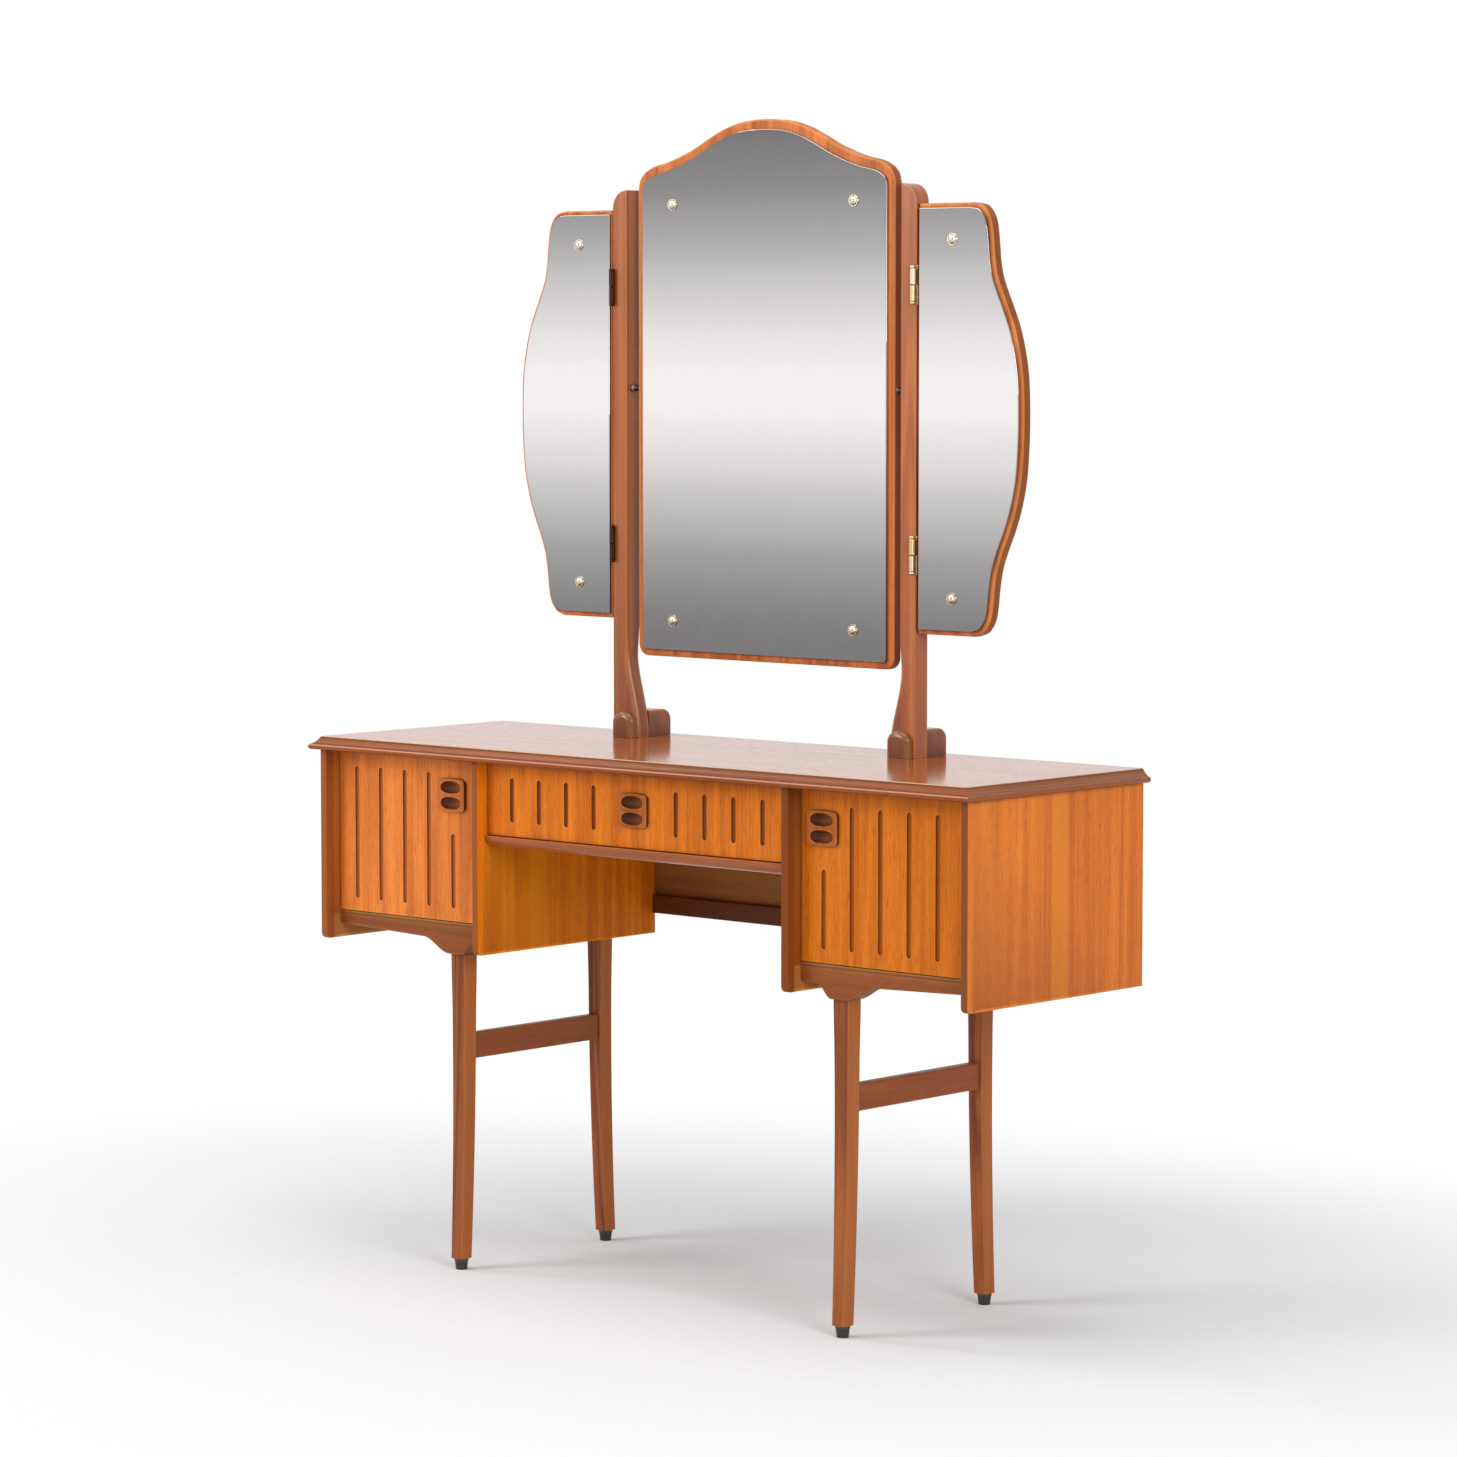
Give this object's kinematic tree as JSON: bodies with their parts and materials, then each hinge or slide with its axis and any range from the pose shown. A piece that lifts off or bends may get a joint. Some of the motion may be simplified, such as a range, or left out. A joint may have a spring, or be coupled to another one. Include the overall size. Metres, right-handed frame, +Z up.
{
  "type": "dressing table with folding mirror",
  "caption": "Teak dressing table with door pedestals either side of a kneehole drawer, on swept legs, with a tilting centre mirror and hinged side mirrors on posts.",
  "frame": {"origin": "on the floor, under the middle of the bounding box", "axes": "+X to the right seen from the front, +Y from the front to the back, +Z up"},
  "size_m": [1.15, 0.363, 1.528],
  "materials": {
    "teak_veneer": "satin oiled veneer",
    "solid_teak": "satin oiled solid wood",
    "mirror_teak": "satin oiled solid wood",
    "plywood": "matt unfinished ply",
    "beech": "matt sanded wood",
    "mirror_glass": "silvered glass",
    "brass": "polished brass",
    "dark_steel": "browned steel",
    "brown_plastic": "moulded plastic"
  },
  "bodies": {
    "case": {"back_panel": "plywood", "drawer_rail": "solid_teak", "front_moulding": "solid_teak", "left_door_lower_pin": "dark_steel", "left_door_upper_pin": "dark_steel", "left_drawer_runner": "beech", "left_front_foot": "brown_plastic", "left_front_leg": "solid_teak", "left_front_rail": "solid_teak", "left_inner_panel": "teak_veneer", "left_lower_post_leaf": "brass", "left_mirror_pivot": "dark_steel", "left_moulding": "solid_teak", "left_outer_panel": "teak_veneer", "left_pedestal_bottom": "plywood", "left_post": "solid_teak", "left_rear_foot": "brown_plastic", "left_rear_leg": "solid_teak", "left_rear_rail": "beech", "left_stretcher": "solid_teak", "left_upper_post_leaf": "brass", "right_door_lower_pin": "dark_steel", "right_door_upper_pin": "dark_steel", "right_drawer_runner": "beech", "right_front_foot": "brown_plastic", "right_front_leg": "solid_teak", "right_front_rail": "solid_teak", "right_inner_panel": "teak_veneer", "right_lower_post_leaf": "brass", "right_mirror_pivot": "dark_steel", "right_moulding": "solid_teak", "right_outer_panel": "teak_veneer", "right_pedestal_bottom": "plywood", "right_post": "solid_teak", "right_rear_foot": "brown_plastic", "right_rear_leg": "solid_teak", "right_rear_rail": "beech", "right_stretcher": "solid_teak", "right_upper_post_leaf": "brass", "table_top": "teak_veneer"},
    "drawer": {"drawer_back": "beech", "drawer_bottom": "plywood", "drawer_front": "teak_veneer", "drawer_handle": "solid_teak", "drawer_left_side": "beech", "drawer_right_side": "beech"},
    "left_door": {"left_door": "teak_veneer", "left_door_handle": "solid_teak"},
    "right_door": {"right_door": "teak_veneer", "right_door_handle": "solid_teak"},
    "centre_mirror": {"mirror_board": "mirror_teak", "mirror_glass": "mirror_glass"},
    "left_wing": {"left_lower_wing_leaf": "brass", "left_upper_wing_leaf": "brass", "left_wing_board": "mirror_teak", "left_wing_glass": "mirror_glass"},
    "right_wing": {"right_lower_wing_leaf": "brass", "right_upper_wing_leaf": "brass", "right_wing_board": "mirror_teak", "right_wing_glass": "mirror_glass"}
  },
  "joints": [
    {"name": "drawer_slide", "type": "slide", "parent": "case", "child": "drawer", "axis": [0, -1, 0], "range_m": [0, 0.22]},
    {"name": "left_door_hinge", "type": "hinge", "parent": "case", "child": "left_door", "pos_m": [-0.5434, -0.1385, 0.5786], "axis": [0, 0, -1], "range_deg": [0, 95]},
    {"name": "right_door_hinge", "type": "hinge", "parent": "case", "child": "right_door", "pos_m": [0.5434, -0.1385, 0.5786], "axis": [0, 0, 1], "range_deg": [0, 95]},
    {"name": "mirror_tilt", "type": "hinge", "parent": "case", "child": "centre_mirror", "pos_m": [0, 0.105, 1.1765], "axis": [1, 0, 0], "range_deg": [-30, 30]},
    {"name": "left_wing_hinge", "type": "hinge", "parent": "case", "child": "left_wing", "pos_m": [-0.262, 0.0883, 1.1402], "axis": [0, 0, 1], "range_deg": [0, 100]},
    {"name": "right_wing_hinge", "type": "hinge", "parent": "case", "child": "right_wing", "pos_m": [0.262, 0.0883, 1.1402], "axis": [0, 0, -1], "range_deg": [0, 100]}
  ]
}
